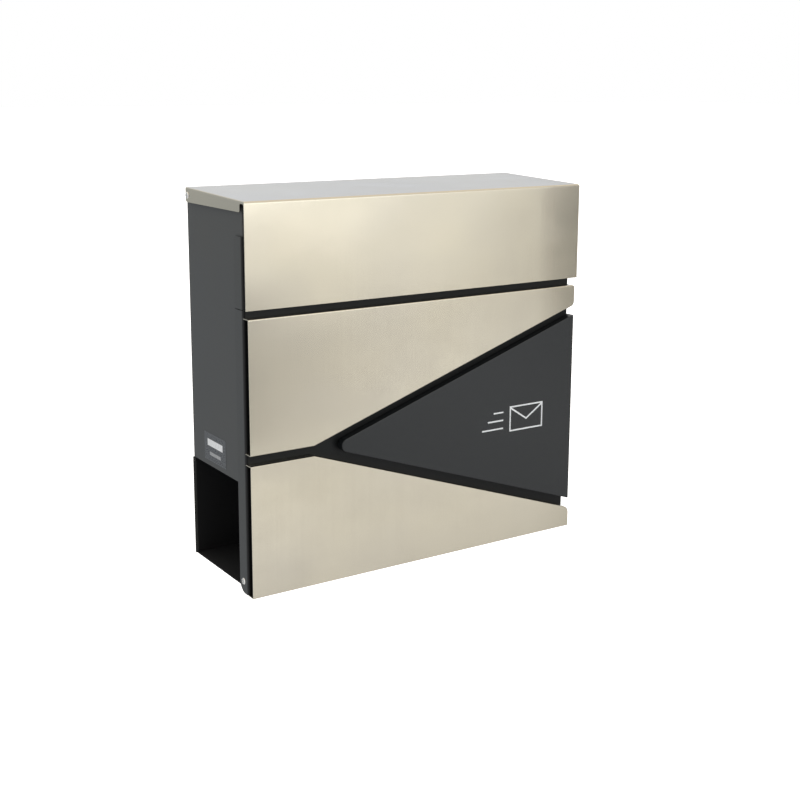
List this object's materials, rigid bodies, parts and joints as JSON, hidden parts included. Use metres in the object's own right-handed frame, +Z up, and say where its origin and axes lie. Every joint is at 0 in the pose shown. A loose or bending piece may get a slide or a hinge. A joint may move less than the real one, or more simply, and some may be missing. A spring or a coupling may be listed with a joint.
{
  "type": "wall mounted mailbox",
  "caption": "Wall mounted mailbox: dark casing with brushed steel fronts, a lift-up lid over the mail slot, a drop-down door with a cam lock and an open newspaper holder below",
  "frame": {"origin": "centre of the four wall holes, on the wall plane at the back face", "axes": "+Z up, +Y into the wall, the front faces -Y, +X to the right seen from the front"},
  "size_m": [0.3746, 0.124, 0.3614],
  "materials": {
    "powder_coat": "dark grey powder coat, fine texture, satin",
    "powder_coat_inside": "dark grey powder coat, thin and matt inside the newspaper holder",
    "powder_coat_front": "dark blue-grey powder coat, satin",
    "stainless": "stainless steel sheet with a fine upright brushed grain, warm tone",
    "rivet_metal": "bright blind rivets",
    "zinc": "zinc plated steel",
    "lock_chrome": "chrome plated",
    "lock_brass": "brass plug, plain",
    "bumper_rubber": "soft black rubber pads",
    "nylon": "natural nylon",
    "white_print": "white screen print",
    "label_film": "dark plastic film label, blank"
  },
  "bodies": {
    "casing": {"casing_back": "powder_coat", "casing_side_left": "powder_coat", "casing_side_right": "powder_coat", "casing_top": "powder_coat", "newspaper_channel": "powder_coat_inside", "upper_front_plate": "powder_coat", "lock_housing": "lock_chrome", "lock_nut": "zinc", "door_bumpers": "bumper_rubber", "lid_bumpers": "bumper_rubber", "blank_label": "label_film", "label_print": "white_print"},
    "lid": {"lid": "stainless", "lid_pivot_rivets": "rivet_metal", "lid_pivot_spacers": "nylon"},
    "door": {"door_shell": "powder_coat", "middle_front": "stainless", "lower_front": "stainless", "triangle_front": "powder_coat_front", "envelope_mark": "white_print", "front_studs": "zinc", "front_nuts": "zinc", "lock_keeper": "zinc", "door_pivot_rivets": "rivet_metal", "door_pivot_washers": "nylon"},
    "lock": {"lock_plug": "lock_brass", "lock_cam": "zinc", "cam_screw": "zinc"}
  },
  "joints": [
    {"name": "lid_hinge", "type": "hinge", "parent": "casing", "child": "lid", "pos_m": [0, -0.0084, 0.1266], "axis": [-1, 0, 0], "range_deg": [0, 90]},
    {"name": "door_hinge", "type": "hinge", "parent": "casing", "child": "door", "pos_m": [0, -0.1055, -0.216], "axis": [1, 0, 0], "range_deg": [0, 92]},
    {"name": "lock_turn", "type": "hinge", "parent": "casing", "child": "lock", "pos_m": [0, -0.1055, 0.058], "axis": [0, 1, 0], "range_deg": [0, 90]}
  ]
}
